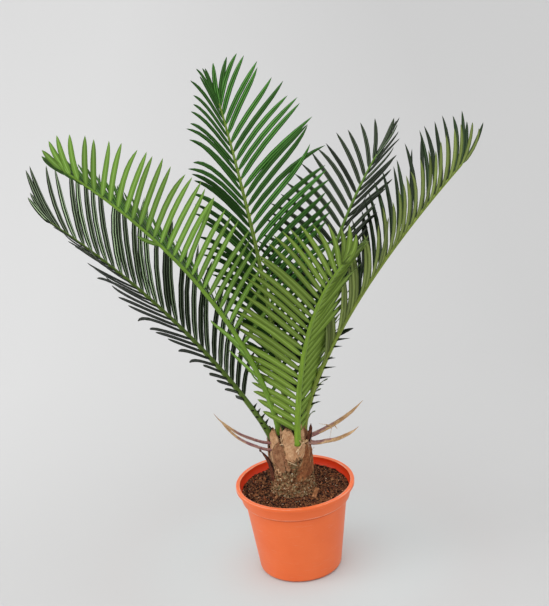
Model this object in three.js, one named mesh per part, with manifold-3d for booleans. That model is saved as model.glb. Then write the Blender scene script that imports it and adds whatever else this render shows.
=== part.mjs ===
// Potted sago palm: a young cycad with six feather fronds in a round nursery pot.
// Millimetres, +Z up. The origin is the middle of the pot's flat underside.
// +X is to the right of the palm's front view, and -Y is toward the viewer.
import * as THREE from 'three';
import Module from 'manifold-3d';

// Pot: a moulded taper with a collar band and a rolled lip
const potHeight = 94;
const lipRadius = 60;
const lipHeight = 3.6;
const lipOverhang = 2.7;
const collarHeight = 15.6;
const collarFootRadius = 54.7;
const wallTopRadius = 51.5;
const wallFootRadius = 41.8;
const footEdge = 4.5;
const wall = 1.4;
const drainHoles = 6;
const drainRadius = 3.5;
const drainCircle = 29;
const drainSegments = 12;
const potSegments = 36;

// Soil: fills the pot and is heaped a little against the trunk
const clear = 0.3;
const soilRim = 86;
const seatHeight = 85.8;
const seatRadius = 24.4;
const heapHeight = 88;
const drySoilRadius = 53.6;
const soilSegments = 32;

// Trunk: a stout stem with a crusted foot and overlapping leaf bases
const trunkHeight = 69.5;
const trunkFootRadius = 22.8;
const trunkWaistRadius = 19.8;
const trunkTopRadius = 17.6;
const trunkLean = -1.6;
const trunkSegments = 24;
const scaleThickness = 3.2;

// Fronds: what all six share
const leafletPitch = 9.3;
const leafletWidth = 6.2;
const leafletThickness = 1.25;
const ribFootRadius = 3.3;
const ribMiddleRadius = 2.6;
const ribTipRadius = 1;
const shortAtFoot = 0.45;
const longestAt = 0.42;
const shortAtTip = 0.47;
const endFan = 0.86;
const leafletGap = 0.4;
const stalkSides = 6;
const dryFlatness = 0.65;

// Each frond leaves the crown at its foot, heads out round +Z from +X, and bows over by its rise.
// Roll turns the blade about its rib and vee lifts both rows. Lean is a leaflet's angle from the
// rib at the blade's foot, toward its tip and at the last pair.
const fronds = {
  frond_front: {
    foot: [5.2, -17.5, 141], sunk: 10, bare: 0.055, length: 262, heading: 292.5, sway: 8,
    rise: [81.8, 41], bow: 1.17, roll: [8.3, 18.4], vee: 44.5, lean: [76, 38.5, 22], leaflet: 81.5,
  },
  frond_front_left: {
    foot: [-10.4, -5.7, 148.2], sunk: 8, bare: 0.12, length: 373, heading: 208.5, sway: -6.5,
    rise: [83.3, 42.2], bow: 0.7, roll: [-60, -41], vee: 52.5, lean: [81, 52, 32], leaflet: 76,
  },
  frond_right: {
    foot: [11.7, -5, 150.8], sunk: 8, bare: 0.12, length: 322, heading: -19, sway: 31,
    rise: [81, 43.2], bow: 0.6, roll: [-5, 12.5], vee: 38, lean: [54.5, 56, 44], leaflet: 93,
  },
  frond_far_left: {
    foot: [-20, 1.3, 146.7], sunk: 9, bare: 0.14, length: 313, heading: 179, sway: 10,
    rise: [64.5, 42.8], bow: 0.79, roll: [26.5, 13.5], vee: 24, lean: [55, 40, 30], leaflet: 104,
  },
  frond_back: {
    foot: [-1, 9.8, 148.8], sunk: 8, bare: 0.12, length: 335, heading: 126, sway: 29,
    rise: [83.2, 77.7], bow: 1.24, roll: [54.5, 28.5], vee: 35, lean: [57.5, 33, 20], leaflet: 104,
  },
  frond_back_right: {
    foot: [9.2, 8, 149.2], sunk: 8, bare: 0.12, length: 287, heading: 39, sway: -5,
    rise: [80.5, 47.5], bow: 1.13, roll: [-19, -16], vee: 31, lean: [68, 39, 22], leaflet: 83,
  },
};

// Dry scale leaves, a torn strap and a dark bud scale stand out from the trunk
const dryLeaves = {
  dry_leaf_left_upper: {
    foot: [-15.5, -6, 141.2], sunk: 1, length: 73, heading: 181, sway: 0,
    rise: [8, 58], bow: 1, radius: [1.7, 0.7],
  },
  dry_leaf_left_lower: {
    foot: [-15.5, -7, 134], sunk: 1, length: 73, heading: 193, sway: 0,
    rise: [14, 64], bow: 1, radius: [1.7, 0.7],
  },
  dry_leaf_right_upper: {
    foot: [14, 0, 142.2], sunk: 1, length: 70, heading: 2, sway: 0,
    rise: [14, 46], bow: 1, radius: [1.7, 0.7],
  },
  dry_leaf_right_lower: {
    foot: [14, -4, 138.6], sunk: 1, length: 58, heading: 352, sway: 0,
    rise: [-8, 42], bow: 1, radius: [1.6, 0.7],
  },
  torn_strap: {
    foot: [-18.6, -4, 95], sunk: 1, length: 44, heading: 186, sway: 0,
    rise: [80, 58], bow: 1, radius: [1.4, 0.8],
  },
  bud_scale: {
    foot: [13.4, -9.6, 136], sunk: 1, length: 25, heading: 330, sway: 0,
    rise: [66, 84], bow: 1, radius: [2.3, 0.8],
  },
};

// Leaf bases on the trunk: middle angle, bottom and top above the cut, breadth, and how far they stand out
const leafBases = [
  { at: 236, low: 20, high: 71, wide: 23, stand: 2.2 },
  { at: 282, low: 30, high: 61, wide: 24, stand: 2.6 },
  { at: 309, low: 11, high: 38, wide: 19, stand: 1.9 },
  { at: 334, low: 26, high: 66, wide: 20, stand: 2.3 },
  { at: 262, low: 12, high: 36, wide: 15, stand: 1.2 },
  { at: 10, low: 16, high: 58, wide: 21, stand: 2 },
  { at: 48, low: 28, high: 67, wide: 22, stand: 2.4 },
  { at: 88, low: 14, high: 54, wide: 21, stand: 1.9 },
  { at: 124, low: 30, high: 69, wide: 22, stand: 2.3 },
  { at: 162, low: 15, high: 56, wide: 21, stand: 2 },
  { at: 198, low: 26, high: 64, wide: 21, stand: 2.2 },
];

const finish = {
  pot: { color: 0xe26a3c, roughness: 0.42, metalness: 0 },
  soil: { color: 0x3d2a20, roughness: 1, metalness: 0 },
  trunk: { color: 0x8a6a4a, roughness: 0.9, metalness: 0 },
  dry: { color: 0xa98058, roughness: 0.75, metalness: 0 },
  dark: { color: 0x4a2a22, roughness: 0.7, metalness: 0 },
  frond: { color: 0x55803a, roughness: 0.5, metalness: 0 },
};

const wasm = await Module();
wasm.setup();
const { Manifold, Mesh: SolidMesh } = wasm;

const radians = THREE.MathUtils.degToRad;
const lerp = THREE.MathUtils.lerp;
const clamp = THREE.MathUtils.clamp;

// Closed skin through rings of equal count, with a flat cap or a point at the far end
function loft(rings, tip) {
  const sides = rings[0].length;
  const points = rings.flat();
  const faces = [];
  for (let ring = 0; ring + 1 < rings.length; ring++) {
    for (let i = 0; i < sides; i++) {
      const a = ring * sides + i;
      const b = ring * sides + (i + 1) % sides;
      faces.push([a, b, b + sides], [a, b + sides, a + sides]);
    }
  }
  for (let i = 1; i + 1 < sides; i++) {
    faces.push([0, i + 1, i]);
  }
  const last = (rings.length - 1) * sides;
  if (tip) {
    points.push(tip);
    for (let i = 0; i < sides; i++) {
      faces.push([last + i, last + (i + 1) % sides, points.length - 1]);
    }
  } else {
    for (let i = 1; i + 1 < sides; i++) {
      faces.push([last, last + i, last + i + 1]);
    }
  }
  return solidFrom(points.flatMap((p) => [p.x, p.y, p.z]), faces.flat());
}

function solidFrom(positions, triangles) {
  const mesh = new SolidMesh({
    numProp: 3,
    vertProperties: new Float32Array(positions),
    triVerts: new Uint32Array(triangles),
  });
  mesh.merge();
  const solid = new Manifold(mesh);
  return solid.volume() > 0 ? solid : solidFrom(positions, triangles.toReversed());
}

// A turned solid about +Z from a profile of radius and height
function turned(profile, segments) {
  const points = profile.map(([r, z]) => new THREE.Vector2(r, z));
  const geometry = new THREE.LatheGeometry(points, segments);
  geometry.rotateX(Math.PI / 2);
  geometry.deleteAttribute('normal');
  geometry.deleteAttribute('uv');
  return geometry;
}

function weld(geometry) {
  return solidFrom([...geometry.attributes.position.array], [...geometry.index.array]);
}

function geometryOf(solid) {
  const mesh = solid.getMesh();
  const geometry = new THREE.BufferGeometry();
  geometry.setAttribute('position', new THREE.BufferAttribute(mesh.vertProperties, 3));
  geometry.setIndex(new THREE.BufferAttribute(mesh.triVerts, 1));
  geometry.computeVertexNormals();
  return geometry;
}

function part(name, geometry, look) {
  const mesh = new THREE.Mesh(geometry, new THREE.MeshStandardMaterial(look));
  mesh.name = name;
  return mesh;
}

// Points of a quarter round from one angle to another, for the pot's profile
function arc(centre, radius, from, to, steps) {
  return Array.from({ length: steps + 1 }, (_, i) => {
    const angle = radians(lerp(from, to, i / steps));
    return [centre[0] + radius * Math.cos(angle), centre[1] + radius * Math.sin(angle)];
  });
}

function makePot() {
  const collarFoot = potHeight - collarHeight;
  const underLip = potHeight - lipHeight;
  const collarTopRadius = lipRadius - lipOverhang;
  const inside = collarTopRadius - wall;
  const ledge = collarFoot + wall;
  const profile = [
    [0, 0],
    ...arc([wallFootRadius - footEdge, footEdge], footEdge, -90, 0, 3),
    [wallTopRadius, collarFoot],
    [collarFootRadius, collarFoot],
    [collarTopRadius, underLip],
    [lipRadius - 0.5, underLip],
    [lipRadius, underLip + 1],
    [lipRadius - 0.4, potHeight - 0.6],
    [lipRadius - 1.4, potHeight],
    [inside + 0.4, potHeight],
    [inside, potHeight - 1],
    [collarFootRadius - wall, ledge + 0.4],
    [wallTopRadius - wall, ledge],
    ...arc([wallFootRadius - footEdge, footEdge], footEdge - wall, 0, -90, 2),
    [0, wall],
  ];
  const shell = weld(turned(profile, potSegments));
  const drill = [[0, -wall], [drainRadius, -wall], [drainRadius, 2 * wall], [0, 2 * wall]];
  const hole = weld(turned(drill, drainSegments));
  const holes = Array.from({ length: drainHoles }, (_, i) => {
    const angle = 2 * Math.PI * i / drainHoles;
    return hole.translate([drainCircle * Math.cos(angle), drainCircle * Math.sin(angle), 0]);
  });
  return shell.subtract(Manifold.union(holes));
}

function makeSoil() {
  const ledge = potHeight - collarHeight + wall;
  const profile = [
    [0, wall + clear],
    ...arc([wallFootRadius - footEdge - clear, footEdge], footEdge - wall - clear, -90, 0, 2),
    [wallTopRadius - wall - 2 * clear, ledge + 1.4 * clear],
    [collarFootRadius - wall - 3 * clear, ledge + 0.4 + 1.4 * clear],
    [drySoilRadius, soilRim - 0.6],
    [drySoilRadius - 2, soilRim],
    [40, soilRim + 0.5],
    [30, heapHeight - 0.6],
    [seatRadius + 0.6, heapHeight],
    [seatRadius, seatHeight],
    [0, seatHeight],
  ];
  return weld(turned(profile, soilSegments));
}

function columnRadius(height) {
  const stops = [
    [0, trunkFootRadius],
    [6, trunkFootRadius - 0.9],
    [20, trunkWaistRadius + 1.1],
    [43, trunkWaistRadius],
    [58, trunkTopRadius + 1],
    [64, trunkTopRadius - 0.8],
    [68, trunkTopRadius - 6],
    [trunkHeight, 3],
  ];
  const next = Math.max(1, stops.findIndex(([z]) => z >= height));
  const [low, high] = [stops[next - 1], stops[next]];
  return lerp(low[1], high[1], clamp((height - low[0]) / (high[0] - low[0]), 0, 1));
}

function trunkPoint(angle, radius, height) {
  const lobes = 1 + 0.018 * Math.cos(3 * angle + 0.6) + 0.012 * Math.cos(5 * angle);
  const lean = trunkLean * height / trunkHeight;
  return new THREE.Vector3(
    radius * lobes * Math.cos(angle) + lean,
    radius * lobes * Math.sin(angle),
    seatHeight + clear + height,
  );
}

function makeColumn() {
  const heights = [0, 6, 20, 32, 43, 52, 58, 64, 68, trunkHeight];
  const rings = heights.map((height) => Array.from({ length: trunkSegments }, (_, i) => (
    trunkPoint(2 * Math.PI * i / trunkSegments, columnRadius(height), height)
  )));
  return loft(rings);
}

// One old leaf base: a curved plate sunk in the column, standing out toward its pointed top
function makeLeafBase({ at, low, high, wide, stand }) {
  const outline = [[0, 0.62], [0.22, 1], [0.55, 0.92], [0.8, 0.6]];
  const across = [-1, -0.4, 0.4, 1];
  const place = (share, side, depth) => {
    const height = lerp(low, high, share);
    const out = columnRadius(Math.min(height, 60)) + stand * (0.35 + 0.65 * share) - depth;
    const edge = Math.abs(side) > 0.9 ? -0.9 : 0;
    return [radians(at) + side * wide / 2 / trunkWaistRadius, out + (depth ? 0 : edge), height];
  };
  const rings = outline.map(([share, breadth]) => [
    ...across.map((side) => trunkPoint(...place(share, side * breadth, 0))),
    ...across.toReversed().map((side) => trunkPoint(...place(share, side * breadth, scaleThickness))),
  ]);
  return loft(rings, trunkPoint(...place(1, 0, scaleThickness / 2)));
}

// The rib's course: a place and its axes at any share of the length, and straight on below the foot
function ribOf(stem) {
  const steps = 80;
  const axes = (share) => {
    const rise = radians(lerp(stem.rise[0], stem.rise[1], Math.max(share, 0) ** stem.bow));
    const heading = radians(stem.heading + stem.sway * Math.max(share, 0));
    const out = new THREE.Vector3(Math.cos(heading), Math.sin(heading), 0);
    const along = out.clone().multiplyScalar(Math.cos(rise)).setZ(Math.sin(rise));
    const above = out.clone().multiplyScalar(-Math.sin(rise)).setZ(Math.cos(rise));
    return { along, above, left: new THREE.Vector3().crossVectors(above, along) };
  };
  const places = [new THREE.Vector3(...stem.foot)];
  for (let i = 0; i < steps; i++) {
    const { along } = axes((i + 0.5) / steps);
    places.push(places[i].clone().addScaledVector(along, stem.length / steps));
  }
  return (share) => {
    const course = axes(share);
    const index = clamp(Math.floor(share * steps), 0, steps - 1);
    const place = share < 0
      ? places[0].clone().addScaledVector(course.along, share * stem.length)
      : places[index].clone().lerp(places[index + 1], share * steps - index);
    return { place, ...course };
  };
}

// A stalk through its stations, as a ribbed bar; swell makes the hole that it stands in
function tube(stem, shares, swell) {
  const rib = ribOf(stem);
  const rings = shares.map((share) => {
    const { place, above, left } = rib(share);
    const radius = stem.radius ? dryRadius(stem, share) : ribRadius(share);
    const depth = (stem.radius ? dryFlatness : 1) * radius;
    return Array.from({ length: stalkSides }, (_, i) => {
      const angle = 2 * Math.PI * (i + 0.25) / stalkSides;
      return place.clone()
        .addScaledVector(left, (radius + swell) * Math.cos(angle))
        .addScaledVector(above, (depth + swell) * Math.sin(angle));
    });
  });
  return loft(rings);
}

function stalkShares(stem) {
  const stations = stem.radius ? 8 : 12;
  return Array.from({ length: stations + 1 }, (_, i) => i / stations);
}

function ribRadius(share) {
  const low = lerp(ribFootRadius, ribMiddleRadius, clamp(share / 0.3, 0, 1));
  return share < 0.3 ? low : lerp(ribMiddleRadius, ribTipRadius, (share - 0.3) / 0.7);
}

function makeStalk(stem) {
  return tube(stem, [-stem.sunk / stem.length, ...stalkShares(stem)], 0);
}

// The hole that a stalk stands in, larger than the stalk by the clear gap
function makeSocket(stem) {
  const floor = -(stem.sunk + clear) / stem.length;
  const nearTrunk = stalkShares(stem).filter((share) => share * stem.length < 45);
  return tube(stem, [floor, ...nearTrunk], 1.25 * clear);
}

// A leaflet's length along the blade, from its foot to its tip
function leafletLength(frond, along) {
  if (along < longestAt) {
    return frond.leaflet * lerp(shortAtFoot, 1, Math.sin(Math.PI / 2 * along / longestAt));
  }
  return frond.leaflet * lerp(1, shortAtTip, ((along - longestAt) / (1 - longestAt)) ** 2);
}

// One narrow, pointed leaflet on one side of the rib, bowed a little and flat beneath
function makeLeaflet(frond, rib, along, side, keep) {
  const { place, along: forward, above, left } = rib(lerp(frond.bare, 1, along));
  const roll = radians(lerp(frond.roll[0], frond.roll[1], along));
  const fan = clamp((along - endFan) / (1 - endFan), 0, 1) ** 1.5;
  const lean = radians(lerp(lerp(frond.lean[0], frond.lean[1], along ** 4), frond.lean[2], fan));
  const vee = radians(frond.vee);
  const up = above.clone().multiplyScalar(Math.cos(roll)).addScaledVector(left, Math.sin(roll));
  const out = left.clone().multiplyScalar(Math.cos(roll)).addScaledVector(above, -Math.sin(roll));
  const spread = out.multiplyScalar(side * Math.cos(vee)).addScaledVector(up, Math.sin(vee));
  const course = forward.clone().multiplyScalar(Math.cos(lean)).addScaledVector(spread, Math.sin(lean));
  const across = forward.clone().addScaledVector(course, -forward.dot(course)).normalize();
  const face = new THREE.Vector3().crossVectors(course, across).multiplyScalar(side);
  const length = keep * leafletLength(frond, along);
  const breadth = leafletWidth * lerp(0.8, 1, leafletLength(frond, along) / frond.leaflet);
  const stations = [[0, 0.66], [0.58, 1]];
  const centre = (share) => place.clone()
    .addScaledVector(course, share * length)
    .addScaledVector(across, 0.05 * length * 4 * share * (1 - share))
    .addScaledVector(face, 0.03 * length * 4 * share * (1 - share));
  const rings = stations.map(([share, wide]) => {
    const middle = centre(share);
    return [
      middle.clone().addScaledVector(across, -breadth * wide / 2),
      middle.clone().addScaledVector(across, breadth * wide / 2),
      middle.clone().addScaledVector(face, leafletThickness),
    ];
  });
  return loft(side > 0 ? rings : rings.map((ring) => ring.toReversed()), centre(1));
}

function boxesApart(a, b, gap) {
  return [0, 1, 2].some((axis) => (
    a.min[axis] - gap > b.max[axis] || b.min[axis] - gap > a.max[axis]
  ));
}

// True when a leaflet stays clear of every piece of the other fronds and the dry leaves
function isClear(leaflet, others) {
  const box = leaflet.boundingBox();
  return others.every((other) => (
    boxesApart(box, other.box, leafletGap) || leaflet.minGap(other.solid, 1) >= leafletGap
  ));
}

const boxed = (solid) => ({ solid, box: solid.boundingBox() });

// Leaflets are set frond by frond, and one that would touch another frond is shortened or left out
function makeFronds(stems) {
  const pieces = {};
  for (const [name, frond] of Object.entries(fronds)) {
    pieces[name] = [boxed(makeStalk(frond))];
  }
  for (const [name, frond] of Object.entries(fronds)) {
    const others = Object.keys(fronds).filter((key) => key !== name).flatMap((key) => pieces[key]);
    const rib = ribOf(frond);
    const count = Math.round(frond.length * (1 - frond.bare) / leafletPitch);
    for (let i = 0; i < count; i++) {
      for (const side of [1, -1]) {
        const along = (i + (side > 0 ? 0.35 : 0.65)) / count;
        for (let keep = 1; keep > 0.3; keep -= 0.1) {
          const leaflet = makeLeaflet(frond, rib, along, side, keep);
          if (isClear(leaflet, [...others, ...stems])) {
            pieces[name].push(boxed(leaflet));
            break;
          }
        }
      }
    }
  }
  return Object.fromEntries(Object.entries(pieces).map(([name, list]) => (
    [name, Manifold.union(list.map(({ solid }) => solid))]
  )));
}

function dryRadius(leaf, share) {
  return lerp(leaf.radius[0], leaf.radius[1], clamp(share, 0, 1) ** 1.5);
}

function makeTrunk() {
  const body = Manifold.union([makeColumn(), ...leafBases.map(makeLeafBase)]);
  const sockets = [...Object.values(fronds), ...Object.values(dryLeaves)].map(makeSocket);
  return body.subtract(Manifold.union(sockets));
}

const group = new THREE.Group();
group.add(part('pot', geometryOf(makePot()), finish.pot));
group.add(part('potting_soil', geometryOf(makeSoil()), finish.soil));
group.add(part('trunk', geometryOf(makeTrunk()), finish.trunk));

const dryPieces = [];
for (const [name, leaf] of Object.entries(dryLeaves)) {
  const solid = makeStalk(leaf);
  dryPieces.push(boxed(solid));
  const look = name.startsWith('dry') ? finish.dry : finish.dark;
  group.add(part(name, geometryOf(solid), look));
}

for (const [name, solid] of Object.entries(makeFronds(dryPieces))) {
  group.add(part(name, geometryOf(solid), finish.frond));
}

export default group;
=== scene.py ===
import math
import random

import bmesh
import bpy
import numpy as np
from mathutils import Matrix, Vector, noise
from mathutils.bvhtree import BVHTree


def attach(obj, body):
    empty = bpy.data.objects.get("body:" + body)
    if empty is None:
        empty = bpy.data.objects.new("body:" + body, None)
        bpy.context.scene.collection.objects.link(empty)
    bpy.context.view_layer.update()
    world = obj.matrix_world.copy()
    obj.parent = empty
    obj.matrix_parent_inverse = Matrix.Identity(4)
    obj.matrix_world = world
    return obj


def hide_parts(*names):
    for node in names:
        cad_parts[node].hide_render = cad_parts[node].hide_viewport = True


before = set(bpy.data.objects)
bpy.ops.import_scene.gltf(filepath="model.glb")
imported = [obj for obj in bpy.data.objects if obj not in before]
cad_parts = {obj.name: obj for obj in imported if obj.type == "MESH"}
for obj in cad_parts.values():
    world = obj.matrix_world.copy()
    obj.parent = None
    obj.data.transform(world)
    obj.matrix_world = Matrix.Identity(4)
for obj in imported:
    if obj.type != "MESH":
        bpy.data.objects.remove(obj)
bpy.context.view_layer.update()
MM = 0.001

# Pot: the source's moulded taper, with its edges rounded
POT_HEIGHT = 94
LIP_RADIUS = 60
LIP_HEIGHT = 3.6
LIP_OVERHANG = 2.7
COLLAR_HEIGHT = 15.6
COLLAR_FOOT_RADIUS = 54.7
WALL_TOP_RADIUS = 51.5
WALL_FOOT_RADIUS = 41.8
FOOT_EDGE = 4.5
WALL = 1.4
DRAIN_HOLES = 6
DRAIN_RADIUS = 3.5
DRAIN_CIRCLE = 29

# Soil and trunk, as in the source
SOIL_RIM = 86
SOIL_RADIUS = 54.2
HEAP_HEIGHT = 88
SOIL_SKIRT = 82
CUT_HEIGHT = 86.1
TRUNK_HEIGHT = 69.5
TRUNK_FOOT_RADIUS = 22.8
TRUNK_WAIST_RADIUS = 19.8
TRUNK_TOP_RADIUS = 17.6
TRUNK_LEAN = -1.6
# The photo shows the stem's foot a little left of the pot's middle
TRUNK_STEP = -2

# Fronds: what all six share, as in the source
LEAFLET_PITCH = 9.3
LEAFLET_WIDTH = 6.2
RIB_FOOT_RADIUS = 3.3
RIB_MIDDLE_RADIUS = 2.6
RIB_TIP_RADIUS = 1.0
SHORT_AT_FOOT = 0.45
LONGEST_AT = 0.42
SHORT_AT_TIP = 0.47
END_FAN = 0.86

# Each frond's course and blade are the source's. The rest are its rows' own habits, each as the left
# row's foot, middle and tip and then the right row's, and nought where it isn't given. Spread is degrees
# farther from the rib, opening degrees more opened, turn degrees about the leaflet's length and screw
# degrees from its root to its point. Curl is toward the frond's tip and arch downward. Broad and long
# are relative. Tone and painted shade is a step among the shades, partly the leaflets' own tone and
# partly painted shade deep in the crown and painted light on rows that face the light. End and fan are
# the last pairs' relative length and lean. Strays are leaflets that leave the right row: share of the
# blade, relative lean, relative length and degrees off the row.
FRONDS = {
    "frond_front": dict(
        foot=(5.2, -17.5, 141), sunk=-3, bare=0.055, length=262, heading=292.5, sway=8,
        rise=(81.8, 41), bow=1.17, roll=(8.3, 18.4), vee=44.5, lean=(76, 38.5, 22), leaflet=81.5,
        turn=(-20, -50, -60, -6, -6, -6), screw=(150, 130, 60, 0, 0, 0),
        curl=(-0.9, -0.4, -0.1, -0.25, -0.25, -0.25), arch=(0.05,) * 6,
        broad=(0.9, 1, 1.1, 1.38, 1.12, 1.12), long=(1, 1, 0.9, 1, 0.95, 1.2),
        tone=(2.9, 2.9, 2.9, 3.2, 2.1, 3.2), end=1.15, fan=1),
    "frond_front_left": dict(
        foot=(-10.4, -5.7, 148.2), sunk=8, bare=0.12, length=373, heading=208.5, sway=-6.5,
        rise=(83.3, 42.2), bow=0.7, roll=(-60, -41), vee=52.5, lean=(81, 52, 32), leaflet=76,
        spread=(0, 0, 0, -20, -36, -28), opening=(0, 0, 0, -24, -26, -26),
        curl=(0.05, 0.05, 0.05, 0.2, 0.2, 0.2), arch=(0.05,) * 6,
        broad=(0.92, 0.95, 1, 0.65, 1.25, 1.25), long=(1, 1, 1, 0.5, 0.7, 0.8),
        tone=(2.2, 2.4, 2.6, 3.2, 2.6, 2), end=0.95, fan=1,
        strays=[(0.64, 1.19, 0.47, -57), (0.14, 0.35, 2.1, -57), (0.19, 0.45, 1.36, -67),
                (0.075, 0.51, 1.8, -52)]),
    "frond_right": dict(
        foot=(11.7, -5, 150.8), sunk=8, bare=0.12, length=322, heading=-19, sway=31,
        rise=(81, 43.2), bow=0.6, roll=(-5, 12.5), vee=38, lean=(54.5, 56, 44), leaflet=93,
        spread=(0, 0, 0, -35, -15, 0), opening=(0, 0, 0, -40, -5, -12),
        curl=(0.1,) * 6, arch=(0.05,) * 6,
        broad=(0.8, 0.85, 0.8, 0.66, 0.7, 0.8), long=(1, 0.85, 1.35, 1, 0.8, 1.15),
        tone=(0.6, 1, 1.6, 1.2, 2, 2.6), end=0.8, fan=1.4),
    "frond_far_left": dict(
        foot=(-20, 1.3, 146.7), sunk=9, bare=0.14, length=313, heading=179, sway=10,
        rise=(64.5, 42.8), bow=0.79, roll=(26.5, 13.5), vee=24, lean=(55, 40, 30), leaflet=104,
        spread=(-3, -7, -22, 0, 0, 10),
        curl=(-0.08, -0.16, -0.05, -0.12, -0.04, 0.18), arch=(0.02, 0.02, 0.02, 0.05, 0.05, 0.05),
        broad=(0.75, 0.85, 0.7, 1, 1.05, 1), long=(0.6, 1.3, 0.2, 1, 1, 1.2),
        tone=(0, 0, 0.6, 1.2, 2.2, 2.4), end=0.6, fan=1.2),
    "frond_back": dict(
        foot=(-1, 9.8, 148.8), sunk=8, bare=0.12, length=335, heading=126, sway=29,
        rise=(83.2, 77.7), bow=1.24, roll=(54.5, 28.5), vee=35, lean=(57.5, 33, 20), leaflet=104,
        spread=(-22, -18, -4, 0, 0, 10),
        curl=(-0.22, -0.4, -0.45, 0.2, 0.2, 0.2), arch=(0.05,) * 6,
        broad=(0.86,) * 6, long=(0.8, 0.97, 1.07, 1, 1.1, 1.1),
        tone=(0, 1.3, 2.2, 0, 2.3, 3), end=0.85, fan=1),
    "frond_back_right": dict(
        foot=(9.2, 8, 149.2), sunk=8, bare=0.12, length=287, heading=39, sway=-5,
        rise=(80.5, 47.5), bow=1.13, roll=(-19, -16), vee=31, lean=(68, 39, 22), leaflet=83,
        spread=(0, 0, 0, -14, -18, -8),
        curl=(0.1,) * 6, arch=(0.05,) * 6,
        broad=(0.8, 0.78, 0.74, 0.95, 1, 0.9), long=(1,) * 6,
        tone=(0.5, 1.4, 2, 0.4, 1, 1.4), end=1.15, fan=0.4),
}

# Dry leaves and torn scales on the trunk, as in the source. Hairs are shreds that stand off a strand:
# share of its length, how far each reaches and its radius.
STRANDS = {
    "dry_leaf_left_upper": dict(
        foot=(-15.5, -6, 141.2), sunk=1, length=73, heading=181, sway=0, rise=(8, 58), bow=1,
        radius=(2.6, 1.2), flat=0.6, turn=30, slot="dry_leaf"),
    "dry_leaf_left_lower": dict(
        foot=(-15.5, -7, 134), sunk=1, length=73, heading=193, sway=0, rise=(14, 64), bow=1,
        radius=(2.6, 1.2), flat=0.6, turn=30, slot="dry_leaf"),
    "dry_leaf_right_upper": dict(
        foot=(14, 0, 142.2), sunk=1, length=70, heading=2, sway=0, rise=(14, 46), bow=1,
        radius=(2.6, 1.2), flat=0.6, turn=30, slot="dry_leaf",
        hairs=[(0.42, (-13, -2, 4), 0.4), (0.42, (-3, -1, -13), 0.3), (0.44, (4, -2, 4), 0.9),
               (0.4, (-5, -3, 3), 0.8), (0.45, (3, -3, -4), 0.7)]),
    "dry_leaf_right_lower": dict(
        foot=(14, -4, 138.6), sunk=1, length=58, heading=352, sway=0, rise=(-8, 42), bow=1,
        radius=(2.5, 1.3), flat=0.6, turn=30, slot="dry_leaf"),
    "torn_strap": dict(
        foot=(-21.2, -10.5, 103), sunk=1, length=38, heading=186, sway=0, rise=(88, 42), bow=1.7,
        radius=(3.4, 1.2), flat=0.3, turn=50, slot="dark_scale", hairs=[(0.95, (-0.9, -0.5, 2.6), 1.3)]),
    "bud_scale": dict(
        foot=(15.6, -9.6, 143), sunk=1, length=21, heading=330, sway=0, rise=(62, 88), bow=1,
        radius=(2.5, 1.3), flat=0.35, turn=-40, slot="dark_scale"),
}

# Old leaf bases that show: how far each stands out at its foot and its top, then rows of a height
# above the cut and the angles of its left and right edge there
LEAF_BASES = {
    "tall_left": dict(
        look="pale", stand=(0.0, 1.2),
        edges=[(22, 184, 236), (26, 184, 247), (33, 180, 252), (39, 178, 257), (45, 177, 259),
               (52, 179, 257), (55, 184, 253), (59, 189, 249), (63, 198, 244), (67, 207, 239),
               (70, 214, 236), (73, 220, 232), (76, 225, 227)]),
    "oval_left": dict(
        look="brown", stand=(0.5, 2.6),
        edges=[(27, 250, 266), (31, 236, 269), (35, 224, 268), (40, 216, 265), (46, 214, 263),
               (53, 218, 260), (57, 228, 256), (60, 238, 252), (63, 246, 249)]),
    "sliver": dict(
        look="pale", stand=(1.6, 2.4),
        edges=[(58, 248, 253), (66, 247, 254), (73, 248, 255), (79, 251, 254)]),
    "middle_left": dict(
        look="pale", stand=(2.4, 2.6),
        edges=[(40, 272, 292), (42, 262, 300), (46, 256, 305), (52, 254, 305), (57, 253, 300),
               (60, 252, 296), (63, 252, 294), (66, 251, 291), (70, 252, 286), (74, 256, 281),
               (77, 264, 273)]),
    "middle_right": dict(
        look="pale", stand=(2.0, 3.0),
        edges=[(41, 288, 302), (43, 285, 311), (47, 284, 318), (51, 285, 321), (56, 286, 322),
               (60, 287, 323), (65, 290, 323), (69, 294, 322), (73, 298, 319), (77, 303, 314),
               (80, 307, 310)]),
    "low_right": dict(
        look="russet", stand=(1.2, 2.0),
        edges=[(17, 282, 318), (19, 279, 340), (22, 280, 357), (26, 282, 366), (30, 287, 369),
               (34, 292, 368), (38, 299, 365), (42, 306, 360), (46, 312, 351), (51, 318, 338),
               (55, 323, 327)]),
    "right_edge": dict(
        look="brown", stand=(1.0, 1.8),
        edges=[(36, 342, 364), (42, 332, 370), (47, 326, 372), (52, 322, 370), (57, 320, 366),
               (64, 312, 356), (70, 308, 342), (74, 306, 330), (78, 308, 314)]),
}
# Those behind follow a rule: middle angle, bottom, top, half breadth in degrees and look
HIDDEN_BASES = [(14, 18, 60, 29, "russet"), (36, 30, 76, 27, "pale"), (66, 19, 58, 30, "brown"),
                (92, 31, 75, 28, "pale"), (122, 18, 60, 30, "russet"), (148, 30, 66, 28, "brown"),
                (172, 17, 58, 26, "brown")]
# Above this height the leaf bases stand upright and no longer follow the stem's taper
UPRIGHT_FROM = 57
# Each leaf base's breadth on its UV map, and how far the next one's pattern is shifted
BASE_BREADTH = 40
BASE_SHIFT = 37


def lerp(a, b, share):
    return a + (b - a) * share


def clamp(value, low=0.0, high=1.0):
    return max(low, min(high, value))


def ease(value):
    value = clamp(value)
    return value * value * (3 - 2 * value)


def ripple(x, y, z, seed=0.0):
    """Smooth noise from -1 to 1 at a place given in the noise's own cell size."""
    return noise.noise(Vector((x + 31.7 * seed, y - 17.3 * seed, z + 9.1 * seed)))


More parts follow.
